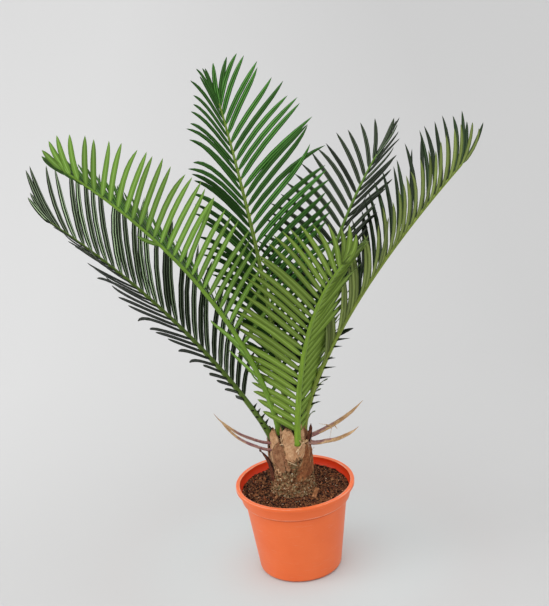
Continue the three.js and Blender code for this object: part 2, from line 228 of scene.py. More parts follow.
def linear(code):
    """An sRGB hex colour as linear RGBA."""
    shares = [int(code[i:i + 2], 16) / 255 for i in (1, 3, 5)]
    return [s / 12.92 if s <= 0.04045 else ((s + 0.055) / 1.055) ** 2.4 for s in shares] + [1.0]


def add(tree, kind, inputs=None, **settings):
    """Adds a node with its settings. Each input is a value or the socket that feeds it."""
    node = tree.nodes.new(kind)
    for name, value in settings.items():
        setattr(node, name, value)
    for name, value in (inputs or {}).items():
        if isinstance(value, bpy.types.NodeSocket):
            tree.links.new(value, node.inputs[name])
        else:
            node.inputs[name].default_value = value
    return node


def blank(name):
    """A new material without nodes, and its tree."""
    material = bpy.data.materials.new(name)
    material.use_nodes = True
    material.node_tree.nodes.clear()
    return material, material.node_tree


def run_noise(tree, across, along, detail):
    """Noise on the UV map named "run", from its cells' width and length in millimetres."""
    run = add(tree, "ShaderNodeUVMap", uv_map="run")
    cells = add(tree, "ShaderNodeMapping", {"Vector": run.outputs["UV"],
                                            "Scale": (1 / across, 1 / along, 1)})
    return add(tree, "ShaderNodeTexNoise", {"Vector": cells.outputs[0], "Scale": 1,
                                            "Detail": detail}).outputs[0]


def place_noise(tree, size, detail, **inputs):
    """Noise in object coordinates, from its cells' size in millimetres."""
    place = add(tree, "ShaderNodeTexCoord")
    return add(tree, "ShaderNodeTexNoise", {"Vector": place.outputs["Object"], "Scale": 1 / (size * MM),
                                            "Detail": detail, **inputs}).outputs[0]


def ranged(tree, value, start, end, most=1):
    """Nought where the value is at its start, and the most where it is at its end."""
    return add(tree, "ShaderNodeMapRange", {"Value": value, "From Min": start, "From Max": end,
                                            "To Max": most}).outputs[0]


def blend(tree, share, first, second):
    """A mix of two colours, each a hex code or a socket."""
    first, second = [linear(colour) if isinstance(colour, str) else colour for colour in (first, second)]
    return add(tree, "ShaderNodeMix", {0: share, 6: first, 7: second}, data_type="RGBA").outputs[2]


def bumped(tree, height, strength, depth):
    """Relief for the surface's normal, with its depth in millimetres."""
    return add(tree, "ShaderNodeBump", {"Height": height, "Strength": strength,
                                        "Distance": depth * MM}).outputs[0]


def surfaced(material, inputs):
    """The material, once its surface is made from the shader's inputs."""
    shader = add(material.node_tree, "ShaderNodeBsdfPrincipled", inputs)
    add(material.node_tree, "ShaderNodeOutputMaterial", {"Surface": shader.outputs[0]})
    return material


# Materials. UV maps named "run" hold millimetres: across the piece, then along it.
def leaf_upper(name, deep, fresh, coat=0.2):
    """Living leaf under a waxy cuticle: dark green, softly glossy, faintly streaked along its veins."""
    material, tree = blank(name)
    # Veins 0.5 mm apart would vanish at this size, so they are drawn as streaks 1.7 mm wide
    streaks = run_noise(tree, 1.67, 33.3, 3)
    cloud = place_noise(tree, 22.2, 1)
    both = add(tree, "ShaderNodeMath", {0: streaks, 1: cloud}, operation="ADD").outputs[0]
    return surfaced(material, {
        "Base Color": blend(tree, ranged(tree, both, 0.72, 1.28), deep, fresh),
        "Normal": bumped(tree, streaks, 0.25, 0.3), "Roughness": 0.36, "IOR": 1.45,
        "Specular IOR Level": 0.13, "Coat Weight": coat, "Coat Roughness": 0.2, "Coat IOR": 1.4})


def leaf_under(name, deep, fresh, keel):
    """The leaf's underside: matte yellow-green, with painted shade at its margins where they roll under,
    and a paler midrib.
    """
    material, tree = blank(name)
    # Here too the veins are drawn coarser than they are
    streaks = run_noise(tree, 2, 28.6, 2)
    blade = blend(tree, ranged(tree, streaks, 0.3, 0.7), deep, fresh)
    run = add(tree, "ShaderNodeUVMap", uv_map="run")
    split = add(tree, "ShaderNodeSeparateXYZ", {0: run.outputs["UV"]})
    off = add(tree, "ShaderNodeMath", {0: split.outputs["X"], 1: LEAFLET_WIDTH / 2}, operation="SUBTRACT")
    away = add(tree, "ShaderNodeMath", {0: off.outputs[0]}, operation="ABSOLUTE").outputs[0]
    # Painted shade: the blade darkens toward its rolled-under margins
    painted_shade_margin = blend(tree, ranged(tree, away, 1.7, 2.8, 0.6), blade, shaded(deep, 0.62))
    return surfaced(material, {
        "Base Color": blend(tree, ranged(tree, away, 0.8, 0.3), painted_shade_margin, keel),
        "Normal": bumped(tree, streaks, 0.2, 0.3), "Roughness": 0.6, "IOR": 1.42,
        "Specular IOR Level": 0.25})


def stalk_skin(name, deep, fresh):
    """A rib's skin: firm, smooth and faintly ridged lengthwise."""
    material, tree = blank(name)
    streaks = run_noise(tree, 2, 20, 3)
    return surfaced(material, {
        "Base Color": blend(tree, ranged(tree, streaks, 0.32, 0.68), deep, fresh),
        "Normal": bumped(tree, streaks, 0.3, 0.4), "Roughness": 0.45, "IOR": 1.45,
        "Specular IOR Level": 0.3})


def dry_skin(name, deep, middle, pale, fibre=0.909):
    """Dead leaf base or strand: papery, fibrous along its run, dull, bleached and mould-spotted."""
    material, tree = blank(name)
    # Fibres of 0.2 mm would vanish, so bundles of them are drawn
    fibres = run_noise(tree, fibre, 11.1, 4)
    stains = place_noise(tree, 5.26, 6, Roughness=0.7)
    mould = place_noise(tree, 1.92, 3)
    base = blend(tree, ranged(tree, fibres, 0.34, 0.64), deep, middle)
    bleached = blend(tree, ranged(tree, stains, 0.44, 0.66), base, pale)
    return surfaced(material, {
        "Base Color": blend(tree, ranged(tree, mould, 0.56, 0.7, 0.5), bleached, shaded(deep, 0.7)),
        "Normal": bumped(tree, fibres, 0.5, 0.6), "Roughness": 0.8, "IOR": 1.4,
        "Specular IOR Level": 0.25})


def crusted_bark_and_painted_shade(name, deep, middle, patch_tone):
    """The stem's cork: dead brown tissue crusted with lime, algae and soil, so matte and mottled. Made
    nearly black, the same mix is painted shade in the gaps between the leaf bases.
    """
    material, tree = blank(name)
    spots = place_noise(tree, 2.38, 5)
    patches = place_noise(tree, 3.85, 3)
    mottle_base = blend(tree, ranged(tree, spots, 0.4, 0.6), deep, middle)
    return surfaced(material, {
        "Base Color": blend(tree, ranged(tree, patches, 0.46, 0.62), mottle_base, patch_tone),
        "Normal": bumped(tree, spots, 0.8, 0.8), "Roughness": 0.9, "IOR": 1.4,
        "Specular IOR Level": 0.2})


# The rubs' pale, which on the pot's edges also paints a highlight
RUB_AND_HIGHLIGHT_PALE = "#f0a184"


def moulded_plastic(name, deep, fresh, rub_and_highlight_most=0.35, rub_and_highlight_from=0.6):
    """Injection-moulded polypropylene: orange-red, satin, with faint flow marks and pale rubs. Set strong,
    the rubs also paint a highlight line.
    """
    material, tree = blank(name)
    flow = place_noise(tree, 33.3, 3)
    body = blend(tree, ranged(tree, flow, 0.3, 0.7), deep, fresh)
    # Rubs are 11 mm long round the pot and 1.1 mm high
    place = add(tree, "ShaderNodeTexCoord")
    rubs = add(tree, "ShaderNodeMapping", {
        "Vector": place.outputs["Object"], "Scale": (1 / (11.1 * MM), 1 / (11.1 * MM), 1 / (1.11 * MM))})
    rub = add(tree, "ShaderNodeTexNoise", {"Vector": rubs.outputs[0], "Scale": 1, "Detail": 4})
    worn = ranged(tree, rub.outputs[0], rub_and_highlight_from, rub_and_highlight_from + 0.2, rub_and_highlight_most)
    # The mould's grit of 0.1 mm would vanish, so it is drawn as a faint orange peel
    orange_peel = place_noise(tree, 1.43, 2)
    return surfaced(material, {
        "Base Color": blend(tree, worn, body, RUB_AND_HIGHLIGHT_PALE),
        "Normal": bumped(tree, orange_peel, 0.06, 0.2), "Roughness": 0.42, "IOR": 1.49,
        "Specular IOR Level": 0.45, "Subsurface Weight": 0.08, "Subsurface Scale": 1.5 * MM,
        "Subsurface Radius": (1.0, 0.3, 0.15)})


def earth(name, deep, middle, rough=1.0):
    """Peat compost and the crust it leaves: matte, nearly black where damp, with brown crumbs."""
    material, tree = blank(name)
    crumbs = place_noise(tree, 2.38, 4)
    return surfaced(material, {
        "Base Color": blend(tree, ranged(tree, crumbs, 0.4, 0.62), deep, middle),
        "Normal": bumped(tree, crumbs, 0.7, 0.6), "Roughness": rough, "Specular IOR Level": 0.2})


def mesh_of(name, shape):
    """A mesh from a bmesh, which it uses up."""
    mesh = bpy.data.meshes.new(name)
    shape.to_mesh(mesh)
    shape.free()
    return mesh


def placed(name, data):
    """A new object in the scene."""
    obj = bpy.data.objects.new(name, data)
    bpy.context.scene.collection.objects.link(obj)
    return obj


def piece(name, shape, materials, slot, *nodes):
    """Makes a finished mesh an object of the part that stands for the named CAD nodes."""
    bmesh.ops.scale(shape, vec=(MM, MM, MM), verts=shape.verts)
    mesh = mesh_of(name, shape)
    for material in materials:
        mesh.materials.append(material)
    obj = placed(name, mesh)
    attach(obj, "root")
    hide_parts(*nodes)
    return obj


def turned(profile, steps):
    """A bmesh turned about +Z from a profile of radius and height that starts and ends on the axis."""
    shape = bmesh.new()
    line = [shape.verts.new((radius, 0, height)) for radius, height in profile]
    edges = [shape.edges.new(pair) for pair in zip(line, line[1:])]
    bmesh.ops.spin(shape, geom=line + edges, cent=(0, 0, 0), axis=(0, 0, 1), angle=2 * math.pi,
                   steps=steps, use_merge=True)
    bmesh.ops.remove_doubles(shape, verts=shape.verts, dist=0.001)
    bmesh.ops.recalc_face_normals(shape, faces=shape.faces)
    return shape


def sheet(columns, rows, place, run):
    """A grid whose every vertex is set by place(u, v), with u across and v along, both 0 to 1.
    run(u, v) gives the millimetres across and along for the UV map."""
    shape = bmesh.new()
    bmesh.ops.create_grid(shape, x_segments=columns, y_segments=rows, size=1)
    spots = {vert: ((vert.co.x + 1) / 2, (vert.co.y + 1) / 2) for vert in shape.verts}
    layer = shape.loops.layers.uv.new("run")
    for face in shape.faces:
        for loop in face.loops:
            loop[layer].uv = run(*spots[loop.vert])
    for vert, (u, v) in spots.items():
        vert.co = place(u, v)
    return shape


def close_tube(shape):
    """Joins a rolled sheet's long edges and closes both ends."""
    bmesh.ops.remove_doubles(shape, verts=shape.verts, dist=0.0005)
    rim = [edge for edge in shape.edges if edge.is_boundary]
    if rim:
        bmesh.ops.holes_fill(shape, edges=rim, sides=0)
    bmesh.ops.recalc_face_normals(shape, faces=shape.faces)


def smooth(shape):
    for face in shape.faces:
        face.smooth = True


# The rib's course, by the source's rule
RIB_STEPS = 80


def rib_of(stem):
    """A function from a share of the stem's length to its place and its axes."""
    def axes(share):
        rise = math.radians(lerp(*stem["rise"], max(share, 0) ** stem["bow"]))
        heading = math.radians(stem["heading"] + stem["sway"] * max(share, 0))
        out = Vector((math.cos(heading), math.sin(heading), 0))
        along = out * math.cos(rise) + Vector((0, 0, math.sin(rise)))
        above = out * -math.sin(rise) + Vector((0, 0, math.cos(rise)))
        return along, above, above.cross(along)

    places = [Vector(stem["foot"])]
    for i in range(RIB_STEPS):
        places.append(places[i] + axes((i + 0.5) / RIB_STEPS)[0] * (stem["length"] / RIB_STEPS))

    def at(share):
        course = axes(share)
        if share < 0:
            return places[0] + course[0] * share * stem["length"], *course
        index = int(clamp(math.floor(share * RIB_STEPS), 0, RIB_STEPS - 1))
        return places[index].lerp(places[index + 1], share * RIB_STEPS - index), *course

    return at


def rib_radius(share):
    if share < 0.3:
        return lerp(RIB_FOOT_RADIUS, RIB_MIDDLE_RADIUS, clamp(share / 0.3))
    return lerp(RIB_MIDDLE_RADIUS, RIB_TIP_RADIUS, (share - 0.3) / 0.7)


def leaflet_length(frond, along):
    if along < LONGEST_AT:
        return frond["leaflet"] * lerp(SHORT_AT_FOOT, 1, math.sin(math.pi / 2 * along / LONGEST_AT))
    return frond["leaflet"] * lerp(1, SHORT_AT_TIP, ((along - LONGEST_AT) / (1 - LONGEST_AT)) ** 2)


def habit(frond, name, row, along):
    """A row's own value at a share of the blade, between its values at the foot, the middle and the tip.
    It is nought where the frond doesn't give it."""
    foot, middle, tip = frond.get(name, (0,) * 6)[3 * row:3 * row + 3]
    return lerp(foot, middle, 2 * along) if along < 0.5 else lerp(middle, tip, 2 * along - 1)


def leaflet_count(frond):
    return round(frond["length"] * (1 - frond["bare"]) / LEAFLET_PITCH)


# A leaflet's stations along its length and its breadth there: a narrow foot, long parallel margins
# and a drawn-out point
LEAFLET_STATIONS = [(0, 0.36), (0.03, 0.42), (0.07, 0.72), (0.13, 0.92), (0.24, 1), (0.45, 1), (0.63, 0.95),
                    (0.78, 0.8), (0.89, 0.54), (0.96, 0.25)]
# Its section: share of the half breadth and height in millimetres, from one margin over the pleated
# top to the other and back under it past the midrib's keel
LEAFLET_SECTION = [(-1, -0.7), (-0.6, 0.0), (-0.3, 0.2), (0.3, 0.2), (0.6, 0.0), (1, -0.7),
                   (0.6, -0.32), (0.16, -0.6), (-0.16, -0.6), (-0.6, -0.32)]
# The last pairs crowd at the rib's end, shorter and closer to its line: their places, relative lean
# and relative length
END_PAIRS = [(0.985, 0.7, 1), (0.997, 0.4, 0.9)]
# What a leaflet that would cut another frond tries in turn: its share of its length, and degrees by
# which it leaves its row
TRIES = [(1, 0), (1, 5), (1, -5), (1, 10), (1, -10), (1, 16), (1, -16), (1, 24), (1, -24),
         (0.8, 0), (0.8, 14), (0.8, -14), (0.6, 0), (0.6, 20), (0.6, -20), (0.45, 0)]
# At its root each leaflet sweeps toward the frond's tip and downward by these shares of its course, and
# toward its point it bends back as much. Its curl and arch vary about its row's.
ROOT_SWEEP = 0.2
ROOT_ARCH = 0.12
BEND_VARIATION = 0.13


def leaflet(frond, rib, along, side, dice, keep, lift, splay):
    """One leaflet's rings of points, its tip, and the millimetres along it at each ring."""
    row = 0 if side > 0 else 1
    spot, forward, above, left = rib(lerp(frond["bare"], 1, along))
    roll = math.radians(lerp(*frond["roll"], along))
    fan = clamp((along - END_FAN) / (1 - END_FAN)) ** 1.5
    lean = lerp(lerp(frond["lean"][0], frond["lean"][1], along ** 4), frond["lean"][2], fan)
    lean = math.radians(splay * (lean + habit(frond, "spread", row, along)) + dice.gauss(0, 1.6))
    vee = math.radians(frond["vee"] - habit(frond, "opening", row, along) + dice.gauss(0, 1.9) + lift)
    up = above * math.cos(roll) + left * math.sin(roll)
    out = left * math.cos(roll) - above * math.sin(roll)
    spread = out * side * math.cos(vee) + up * math.sin(vee)
    course = forward * math.cos(lean) + spread * math.sin(lean)
    across = (forward - course * forward.dot(course)).normalized()
    face = course.cross(across) * side
    usual = leaflet_length(frond, along)
    length = keep * usual * habit(frond, "long", row, along) * dice.uniform(0.96, 1.03)
    breadth = LEAFLET_WIDTH * lerp(0.8, 1, usual / frond["leaflet"])
    breadth *= habit(frond, "broad", row, along)
    bend = habit(frond, "curl", row, along) + dice.gauss(0, BEND_VARIATION)
    droop = habit(frond, "arch", row, along) + dice.gauss(0, BEND_VARIATION)
    turn = side * math.radians(habit(frond, "turn", row, along))
    screw = side * math.radians(habit(frond, "screw", row, along))
    twist = math.radians(dice.gauss(0, 7))
    rings = []
    runs = []
    point = spot.copy()
    before = 0.0
    for share, wide in LEAFLET_STATIONS + [(1, 0)]:
        middle = (share + before) / 2
        course_here = course + across * (ROOT_SWEEP * (1 - 2 * middle) + bend * middle ** 3)
        course_here = course_here + face * (ROOT_ARCH * (1 - 2 * middle) + droop * middle ** 3)
        course_here = course_here.normalized()
        point = point + course_here * (share - before) * length
        before = share
        if wide == 0:
            break
        width_axis = (across - course_here * across.dot(course_here)).normalized()
        turned_by = turn * ease(share / 0.15) + screw * share ** 3 + twist * share
        width_axis = Matrix.Rotation(turned_by, 3, course_here) @ width_axis
        height_axis = course_here.cross(width_axis) * -side
        half = breadth * wide / 2
        flat = lerp(0.5, 1, clamp(wide))
        rings.append([point + width_axis * half * x + height_axis * z * flat for x, z in LEAFLET_SECTION])
        runs.append(share * length)
    return rings, point, runs + [length]


# Which look each strip round the section has: 0 upper side, 1 pale stripe of painted sheen, 2 underside
STRIP_LOOKS = [0, 1, 0, 1, 0, 2, 2, 2, 2, 2]


def leaflet_faces(rings):
    """Faces of one leaflet as corner indices, with the strip's look and the ring it starts at."""
    count = len(LEAFLET_SECTION)
    faces = []
    for ring in range(len(rings) - 1):
        for i in range(count):
            j = (i + 1) % count
            faces.append(([ring * count + i, ring * count + j, (ring + 1) * count + j,
                           (ring + 1) * count + i], STRIP_LOOKS[i], ring))
    point = len(rings) * count
    last = point - count
    for i in range(count):
        faces.append(([last + i, last + (i + 1) % count, point], STRIP_LOOKS[i], len(rings) - 1))
    faces.append((list(range(count - 1, -1, -1)), 2, 0))
    return faces


def tree_of(leaflets):
    """One search tree over many leaflets, to find those that would cut each other."""
    points = []
    polygons = []
    for rings, tip, *_ in leaflets:
        start = len(points)
        points += [p for ring in rings for p in ring] + [tip]
        polygons += [[start + i for i in face] for face, _, _ in leaflet_faces(rings)]
    return BVHTree.FromPolygons(points, polygons)


def grow_leaflets(frond, dice, others):
    """All of one frond's leaflets. One that would cut another frond is lifted, shortened or left out."""
    rib = rib_of(frond)
    count = leaflet_count(frond)
    places = [((i + start) / count, side, 1, 1, 0)
              for side, start in ((1, 0.35), (-1, 0.65)) for i in range(count)]
    places += [(along, side, splay * frond["fan"], share * frond["end"], 0)
               for along, splay, share in END_PAIRS for side in (1, -1)]
    places += [(along, -1, splay, share, off) for along, splay, share, off in frond.get("strays", [])]
    grown = []
    for along, side, splay, size, off in places:
        state = dice.getstate()
        for keep, lift in TRIES:
            dice.setstate(state)
            one = leaflet(frond, rib, along, side, dice, keep * size, lift + off, splay)
            if not any(tree.overlap(tree_of([one])) for tree in others):
                grown.append((*one, habit(frond, "tone", 0 if side > 0 else 1, along)))
                break
    return grown


def leaflet_piece(name, leaflets, looks, dice):
    """Joins a frond's leaflets in one mesh, each in its place's shade of green, partly its own tone and
    partly painted shade, with a sharp margin.
    """
    shape = bmesh.new()
    layer = shape.loops.layers.uv.new("run")
    count = len(LEAFLET_SECTION)
    across = [(x + 1) / 2 * LEAFLET_WIDTH for x, _ in LEAFLET_SECTION]
    for rings, tip, runs, tone in leaflets:
        # The step is partly the leaflets' own tone and partly painted shade and light
        shade = int(clamp(tone + dice.gauss(0.5, 0.4), 0, len(SHADES) - 1))
        start = dice.uniform(0, 400)
        verts = [shape.verts.new(p) for ring in rings for p in ring] + [shape.verts.new(tip)]
        for indices, look, ring in leaflet_faces(rings):
            made = shape.faces.new([verts[i] for i in indices])
            made.smooth = True
            made.material_index = 3 * shade + look if ring > 0 else len(looks) - 1
            for loop, i in zip(made.loops, indices):
                at = runs[i // count] + start
                side = across[i % count] if i < len(verts) - 1 else LEAFLET_WIDTH / 2
                loop[layer].uv = (side, at)
        for edge in {edge for vert in verts for edge in vert.link_edges}:
            edge.smooth = len({face.material_index % 3 == 2 for face in edge.link_faces}) == 1
    bmesh.ops.recalc_face_normals(shape, faces=shape.faces)
    return piece(name + "_leaflets", shape, looks, "frond", name)


def add_cone(shape, start, end, wide, narrow, look, flat=1.0):
    """A thin closed cone from one place to another: a spine or a fibre."""
    course = end - start
    pose = Matrix.Translation((start + end) / 2) @ course.to_track_quat("Z", "Y").to_matrix().to_4x4()
    old = set(shape.faces)
    bmesh.ops.create_cone(shape, cap_ends=True, segments=6, radius1=wide, radius2=narrow,
                          depth=course.length, matrix=pose @ Matrix.Diagonal((1, flat, 1, 1)))
    for face in set(shape.faces) - old:
        face.material_index = look


# Spines on the stalk, most of them below the leaflets: first and last share of the rib, how many, the
# longest one's length, and how far they point left, above and forward
BOTH_SIDES = [(0.03, 0.11, 4, 7, (0.8, 0.4, 0.4)), (0.04, 0.12, 4, 7, (-0.8, 0.4, 0.4))]
SPINES = {
    "frond_front_left": BOTH_SIDES,
    "frond_far_left": [(0.015, 0.13, 5, 7, (-0.3, 0.9, 0.3)), (0.03, 0.12, 4, 6, (0.9, -0.2, 0.4))],
    "frond_back": BOTH_SIDES,
    "frond_back_right": BOTH_SIDES,
    "frond_right": [(0.09, 0.37, 8, 15, (-0.3, -0.8, 0.6)), (0.03, 0.1, 3, 6, (0.8, 0.4, 0.4))],
}


def add_spines(shape, name, rib, dice):
    """Reduced leaflets: hard dark points that grow from the rib."""
    for first, last, count, longest, course in SPINES.get(name, []):
        for i in range(count):
            share = lerp(first, last, (i + 0.4 * dice.random()) / count)
            spot, forward, above, left = rib(share)
            aside = left * (course[0] + dice.gauss(0, 0.1))
            aim = (aside + above * course[1] + forward * course[2]).normalized()
            length = longest * dice.uniform(0.6, 1)
            root = spot + aim * (rib_radius(share) - 1.2)
            add_cone(shape, root, root + aim * length, 2.1, 0.12, 1, flat=0.65)


def rib_piece(name, frond, skin, dice):
    """The frond's rib: round beneath, flat and grooved above, swollen where each leaflet joins."""
    rib = rib_of(frond)
    count = leaflet_count(frond)
    start = -frond["sunk"] / frond["length"]

    def place(u, v):
        share = lerp(start, 1, v)
        spot, _, above, left = rib(share)
        angle = 2 * math.pi * u
        blade = (share - frond["bare"]) / (1 - frond["bare"])
        beat = 0.5 + 0.5 * math.cos(2 * math.pi * (blade * count - 0.5))
        radius = rib_radius(share) * (1 + 0.3 * clamp(0.06 - share, 0, 0.06) / 0.06)
        swell = 0.22 * beat * abs(math.cos(angle)) if blade > 0 else 0
        groove = 0.3 * max(math.sin(angle), 0) ** 3
        tip = math.sqrt(clamp((1.0 - v) / 0.012)) if v > 0.988 else 1
        across = (radius + swell) * math.cos(angle) * tip
        height = radius * math.sin(angle) * (1 - groove) * tip
        return spot + left * across + above * height

    around = 2 * math.pi * RIB_MIDDLE_RADIUS
    shape = sheet(14, 4 * count, place, lambda u, v: (u * around, v * frond["length"]))
    close_tube(shape)
    add_spines(shape, name, rib, dice)
    smooth(shape)
    return piece(name + "_rib", shape, [skin, SPINE_SKIN], "frond", name)


# The shades of a frond's greens, each for upper sides, their pale stripes of painted sheen and undersides.
# These lighter and darker copies are partly the leaflets' own tone and partly painted shade and light.
SHADES = (0.7, 0.84, 0.97, 1.09)


def shaded(code, factor):
    """The same colour, lighter or darker."""
    channels = [int(code[i:i + 2], 16) for i in (1, 3, 5)]
    return "#" + "".join(f"{round(clamp(channel * factor, 0, 255)):02x}" for channel in channels)


def greens(name, upper, painted_sheen_stripe, under, keel):
    """A frond's looks in every shade. The stripes are painted sheen and lose their paleness soonest in
    shade.
    """
    looks = []
    for i, factor in enumerate(SHADES):
        # Painted sheen: the stripes dim by the cube of the shade's factor
        pale = factor ** 3
        looks += [
            leaf_upper(f"cuticle_{name}_{i}", shaded(upper, factor * 0.9), shaded(upper, factor * 1.1),
                       coat=0.04),
            leaf_upper(f"stripe_{name}_{i}", shaded(painted_sheen_stripe, pale * 0.9), shaded(painted_sheen_stripe, pale * 1.1)),
            leaf_under(f"underside_{name}_{i}", shaded(under, factor * 0.92),
                       shaded(under, factor * 1.08), shaded(keel, factor)),
        ]
    return looks


# Upper side, its pale stripes of painted sheen, underside, keel, rib, leaflets' roots
COLOURS = {
    "frond_front": ("#2a3a18", "#435a2c", "#66802c", "#7e9646", "#74942c", "#6c8a34"),
    "frond_front_left": ("#3a5c20", "#527c34", "#6c9238", "#86ac54", "#6e9230", "#5e8034"),
    "frond_right": ("#1c2e14", "#3a5230", "#7c8f44", "#96a660", "#7c8e38", "#74883a"),
    "frond_far_left": ("#121c0c", "#889b7b", "#638434", "#82a04c", "#58702a", "#7e8c30"),
    "frond_back": ("#2a5219", "#4f7e3c", "#5a7e32", "#809e4a", "#7c9640", "#94a648"),
    "frond_back_right": ("#131d0d", "#66765c", "#58743a", "#7e9c4a", "#5f8030", "#7e9e3a"),
}
SPINE_SKIN = stalk_skin("stalk_spines", "#161c10", "#2c3620")

dice = random.Random(7)
trees = []
for name, frond in FRONDS.items():
    upper, painted_sheen_stripe, under, keel, rib_green, root_green = COLOURS[name]
    leaflets = grow_leaflets(frond, dice, trees)
    trees.append(tree_of(leaflets))
    skin = stalk_skin("rib_" + name, shaded(rib_green, 0.9), shaded(rib_green, 1.12))
    root = stalk_skin("root_" + name, shaded(root_green, 0.9), shaded(root_green, 1.12))
    leaflet_piece(name, leaflets, greens(name, upper, painted_sheen_stripe, under, keel) + [root], dice)
    rib_piece(name, frond, skin, dice)


# Trunk
def column_radius(height):
    stops = [(0, TRUNK_FOOT_RADIUS), (5, TRUNK_FOOT_RADIUS - 1.5), (20, TRUNK_WAIST_RADIUS + 0.9),
             (43, TRUNK_WAIST_RADIUS), (58, TRUNK_TOP_RADIUS + 1), (64, TRUNK_TOP_RADIUS - 0.8),
             (68, TRUNK_TOP_RADIUS - 6), (TRUNK_HEIGHT, 3)]
    for (low, wide), (high, narrow) in zip(stops, stops[1:]):
        if height <= high:
            return lerp(wide, narrow, clamp((height - low) / (high - low)))
    return stops[-1][1]


def trunk_point(angle, radius, height):
    lobes = 1 + 0.018 * math.cos(3 * angle + 0.6) + 0.012 * math.cos(5 * angle)
    return Vector((radius * lobes * math.cos(angle) + TRUNK_LEAN * height / TRUNK_HEIGHT + TRUNK_STEP,
                   radius * lobes * math.sin(angle), CUT_HEIGHT + height))


def trunk_core(skins):
    """The stem under its leaf bases, knobbly with cork and crust toward its foot."""
    def place(u, v):
        height = TRUNK_HEIGHT * v
        angle = 2 * math.pi * u
        spot = trunk_point(angle, 1, height)
        low = 1 - ease((height - 20) / 12)
        knobs = 0.9 * ripple(spot.x * 4.5, spot.y * 4.5, height * 0.26)
        knobs += 0.5 * ripple(spot.x * 11, spot.y * 11, height * 0.6, 2)
        shrink = lerp(2.2, 0.1, low)
        return trunk_point(angle, column_radius(height) - shrink + knobs * lerp(0.4, 1, low), height)

    shape = sheet(150, 90, place, lambda u, v: (u * 130, v * TRUNK_HEIGHT))
    close_tube(shape)
    smooth(shape)
    # Above about 42 mm the stem takes a near-black mix: painted shade in the gaps between the leaf bases
    for face in shape.faces:
        middle = face.calc_center_median()
        border = 42 + 5 * ripple(middle.x * 0.2, middle.y * 0.2, 5)
        face.material_index = 1 if middle.z - CUT_HEIGHT > border else 0
    return piece("trunk_core", shape, skins, "trunk", "trunk")


def span(rows, height):
    """The two edges at a height, from rows of height and edges."""
    for (low, *a), (high, *b) in zip(rows, rows[1:]):
        if height <= high:
            share = clamp((height - low) / (high - low))
            return [lerp(m, n, share) for m, n in zip(a, b)]
    return rows[-1][1:]


def leaf_base(name, base, seed, skin):
    """One old leaf base: a papery plate bent round the stem, closed, thin and ragged at its edges."""
    rows = base["edges"]
    low, high = rows[0][0], rows[-1][0]
    shift = BASE_SHIFT * seed

    def place(u, v):
        outside = u < 0.5
        side = 4 * u - 1 if outside else 3 - 4 * u
        height = lerp(low, high, v)
        left, right = span(rows, height)
        ragged = 1 + 0.05 * ripple(side * 2, height * 0.22, seed * 3.1)
        ragged += 0.03 * ripple(side, height * 0.7, seed)
        angle = math.radians((left + right) / 2 + side * (right - left) / 2 * ragged)
        torn = 1.6 * ripple(side * 3, seed * 2.7, v * 2) + 1.2 * ripple(side * 9, seed * 4.1, v * 4)
        height += torn * (0.3 + 0.7 * abs(2 * v - 1))
        fibre = 0.34 * ripple(angle * 30, height * 0.07, seed * 5.3)
        fibre += 0.2 * ripple(angle * 80, height * 0.14, seed)
        edge = abs(side) ** 5
        wall = 1.1 * (1 - 0.8 * edge)
        warp = 0.7 * ripple(side * 1.7, height * 0.09, seed * 1.7)
        warp += 0.45 * ripple(side * 7, height * 0.4, seed * 2.3)
        out = column_radius(min(height, UPRIGHT_FROM)) + lerp(*base["stand"], v)
        out = out - 1.1 * edge * (1 - 0.7 * v) + warp
        out += fibre if outside else fibre - wall
        return trunk_point(angle, out, height)

    def run(u, v):
        return 4 * abs(u - 0.5) * BASE_BREADTH / 2 + shift, v * (high - low)

    shape = sheet(64, 44, place, run)
    layer = shape.loops.layers.uv["run"]
    for face in shape.faces:
        spots = [loop[layer].uv - Vector((shift, 0)) for loop in face.loops]
        side = sum(spot.x for spot in spots) / len(spots) / BASE_BREADTH
        up = sum(spot.y for spot in spots) / len(spots) / (high - low)
        worn = ripple(side * 9, up * 9, seed * 3.3)
        # Faces near the edges take their own mix, with finer fibres
        if min(side, 1 - side, 1.6 * (1 - up), up) < 0.06 + 0.12 * worn:
            face.material_index = 1
    close_tube(shape)
    smooth(shape)
    return piece("leaf_base_" + name, shape, [skin, FRAYED], "trunk", "trunk")


def hidden_base(middle, low, high, half, look):
    """A leaf base by rule: narrow where it joins, broad below its middle, and drawn to a point."""
    shape = [(0, 0.7), (0.2, 0.95), (0.45, 1), (0.65, 0.85), (0.85, 0.45), (1, 0.06)]
    edges = [(lerp(low, high, at), middle - half * wide, middle + half * wide) for at, wide in shape]
    return dict(look=look, stand=(1.0, 2.8), edges=edges)


BARK = {
    "pale": dry_skin("papery_leaf_base", "#a87852", "#c99c74", "#dcb48c"),
    "brown": dry_skin("brown_leaf_base", "#704630", "#9a6c4c", "#b08460"),
    "russet": dry_skin("russet_leaf_base", "#5c3420", "#925b3a", "#ac774c"),
}
FRAYED = dry_skin("leaf_base_edge_mix", "#4c3220", "#86623f", "#b8946c", fibre=0.5)
trunk_core([
    crusted_bark_and_painted_shade("crusted_cork", "#54361f", "#94694a", "#9a8560"),
    # Near black: painted shade where the stem shows between the leaf bases
    crusted_bark_and_painted_shade("painted_shade_between_leaf_bases", "#120b07", "#33221a", "#4a3a2c"),
])
for seed, (name, base) in enumerate(LEAF_BASES.items()):
    leaf_base(name, base, seed + 1, BARK[base["look"]])
for seed, values in enumerate(HIDDEN_BASES):
    base = hidden_base(*values)
    leaf_base(f"back_{seed}", base, seed + 11, BARK[base["look"]])


